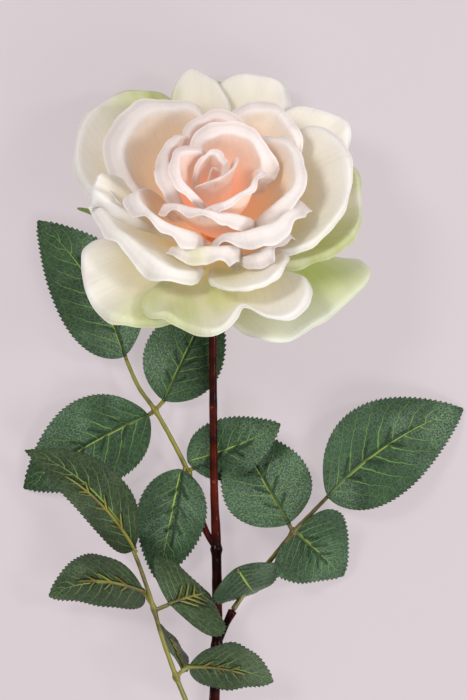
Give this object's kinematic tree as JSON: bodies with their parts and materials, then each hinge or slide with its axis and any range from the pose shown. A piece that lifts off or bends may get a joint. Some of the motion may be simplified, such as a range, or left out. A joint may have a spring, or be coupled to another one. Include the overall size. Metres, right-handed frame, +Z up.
{
  "type": "artificial cut rose",
  "caption": "Long-stemmed rose in full bloom, laid on its back: nested fabric petals on a calyx, a slim plastic stem and compound serrated leaves.",
  "frame": {"origin": "centre of the bounding box's floor, on the surface that the rose lies on", "axes": "+Y along the stem towards the bloom, +X to the right as seen from above with the bloom at the top, +Z up"},
  "size_m": [0.1922, 0.4246, 0.0903],
  "materials": {
    "petal_heart": "pressed woven fabric, peach to salmon, matt",
    "petal_blush": "pressed woven fabric, blush with paler rims, matt",
    "petal_cream": "pressed woven fabric, cream white with faint green tinges, matt",
    "petal_green": "pressed woven fabric, pale yellow-green, matt",
    "leaf_fabric": "starched woven fabric, dark green with printed pale veins, slight sheen",
    "stalk_plastic": "moulded olive yellow-green plastic",
    "stem_plastic": "moulded dark red-brown plastic, glossy",
    "calyx_plastic": "moulded green plastic"
  },
  "bodies": {
    "root": {"petal_heart_1": "petal_heart", "petal_heart_2": "petal_heart", "petal_heart_3": "petal_heart", "petal_heart_4": "petal_heart", "petal_inner_1": "petal_blush", "petal_inner_2": "petal_blush", "petal_inner_3": "petal_blush", "petal_inner_4": "petal_blush", "petal_inner_5": "petal_blush", "petal_middle_1": "petal_blush", "petal_middle_2": "petal_blush", "petal_middle_3": "petal_blush", "petal_middle_4": "petal_blush", "petal_middle_5": "petal_blush", "petal_middle_6": "petal_blush", "petal_middle_7": "petal_blush", "petal_outer_1": "petal_cream", "petal_outer_2": "petal_cream", "petal_outer_3": "petal_cream", "petal_outer_4": "petal_cream", "petal_outer_5": "petal_cream", "petal_outer_6": "petal_cream", "petal_outer_7": "petal_cream", "petal_outer_8": "petal_cream", "petal_outer_9": "petal_cream", "petal_outer_10": "petal_cream", "petal_back_1": "petal_green", "petal_back_2": "petal_green", "petal_back_3": "petal_green", "petal_back_4": "petal_green", "receptacle": "calyx_plastic", "sepal_1": "calyx_plastic", "sepal_2": "calyx_plastic", "sepal_3": "calyx_plastic", "sepal_4": "calyx_plastic", "sepal_5": "calyx_plastic", "main_stem": "stem_plastic", "leaf_a_stalk": "stalk_plastic", "leaf_a_end": "leaf_fabric", "leaf_a_upper_right": "leaf_fabric", "leaf_a_upper_left": "leaf_fabric", "leaf_a_lower_right": "leaf_fabric", "leaf_a_lower_left": "leaf_fabric", "leaf_b_stalk": "stalk_plastic", "leaf_b_end": "leaf_fabric", "leaf_b_upper": "leaf_fabric", "leaf_b_right": "leaf_fabric", "leaf_b_lower": "leaf_fabric", "leaf_c_stalk": "stalk_plastic", "leaf_c_end": "leaf_fabric", "leaf_c_left": "leaf_fabric", "leaf_c_right": "leaf_fabric", "leaf_c_lower_left": "leaf_fabric", "leaf_c_lower_right": "leaf_fabric"}
  },
  "joints": []
}
